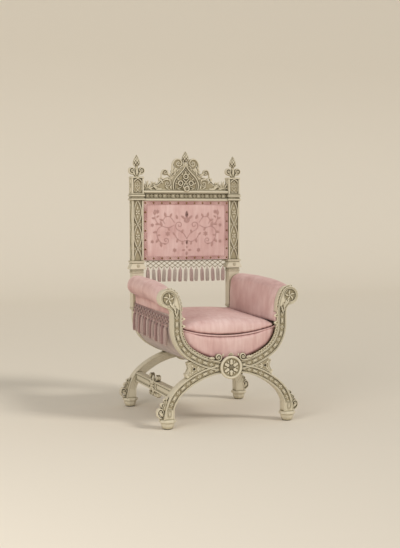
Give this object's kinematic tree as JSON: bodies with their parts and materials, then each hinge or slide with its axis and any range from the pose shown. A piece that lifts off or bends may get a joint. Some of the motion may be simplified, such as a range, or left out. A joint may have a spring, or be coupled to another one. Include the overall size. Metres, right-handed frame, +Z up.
{
  "type": "savonarola armchair",
  "caption": "Carved X-frame armchair with a rounded upholstered tub, rolled arms, a loose seat cushion and a tall panelled back with finials and fringe.",
  "frame": {"origin": "on the floor, in the middle of the chair's footprint", "axes": "+X to the right seen from the front, +Y towards the back, +Z up"},
  "size_m": [0.6764, 0.648, 1.24],
  "materials": {
    "carved_wood": "satin",
    "hidden_wood": "matte",
    "velvet": "matte",
    "border_cloth": "matte",
    "outer_cloth": "matte",
    "fringe": "matte",
    "webbing": "matte",
    "brass": "satin"
  },
  "bodies": {
    "chair": {"apron_boards": "hidden_wood", "arm_cresting": "carved_wood", "back_board": "hidden_wood", "back_border": "border_cloth", "back_cover": "outer_cloth", "back_net": "fringe", "back_pad": "velvet", "back_tassels": "fringe", "border_nails": "brass", "channel_studs": "carved_wood", "crest": "carved_wood", "crest_arch": "carved_wood", "crest_finial": "carved_wood", "frame_dowels": "hidden_wood", "front_apron": "velvet", "front_brackets": "carved_wood", "front_left_arm_curve": "carved_wood", "front_left_foot": "carved_wood", "front_left_leg": "carved_wood", "front_right_arm_curve": "carved_wood", "front_right_foot": "carved_wood", "front_right_leg": "carved_wood", "front_roundel": "carved_wood", "hub_scrolls": "carved_wood", "keel_rail": "hidden_wood", "left_arm_pad": "velvet", "left_arm_rail": "hidden_wood", "left_finial": "carved_wood", "left_post": "carved_wood", "left_seat_rail": "hidden_wood", "left_side_net": "fringe", "left_side_tassels": "fringe", "left_stretcher": "carved_wood", "leg_crockets": "carved_wood", "lower_back_rail": "hidden_wood", "outer_cover": "outer_cloth", "post_tracery": "carved_wood", "rail_beads": "carved_wood", "rear_apron": "outer_cloth", "rear_left_arm_curve": "carved_wood", "rear_left_foot": "carved_wood", "rear_left_leg": "carved_wood", "rear_right_arm_curve": "carved_wood", "rear_right_foot": "carved_wood", "rear_right_leg": "carved_wood", "rear_roundel": "carved_wood", "right_arm_pad": "velvet", "right_arm_rail": "hidden_wood", "right_finial": "carved_wood", "right_post": "carved_wood", "right_seat_rail": "hidden_wood", "right_side_net": "fringe", "right_side_tassels": "fringe", "roundel_flowers": "carved_wood", "scroll_bosses": "carved_wood", "seat_webbing": "webbing", "stretcher_carving": "carved_wood", "top_rail": "carved_wood"},
    "squab": {"seat_cushion": "velvet"}
  },
  "joints": [
    {"name": "cushion_lift", "type": "slide", "parent": "chair", "child": "squab", "axis": [0, 0, 1], "range_m": [0, 0.35]}
  ]
}
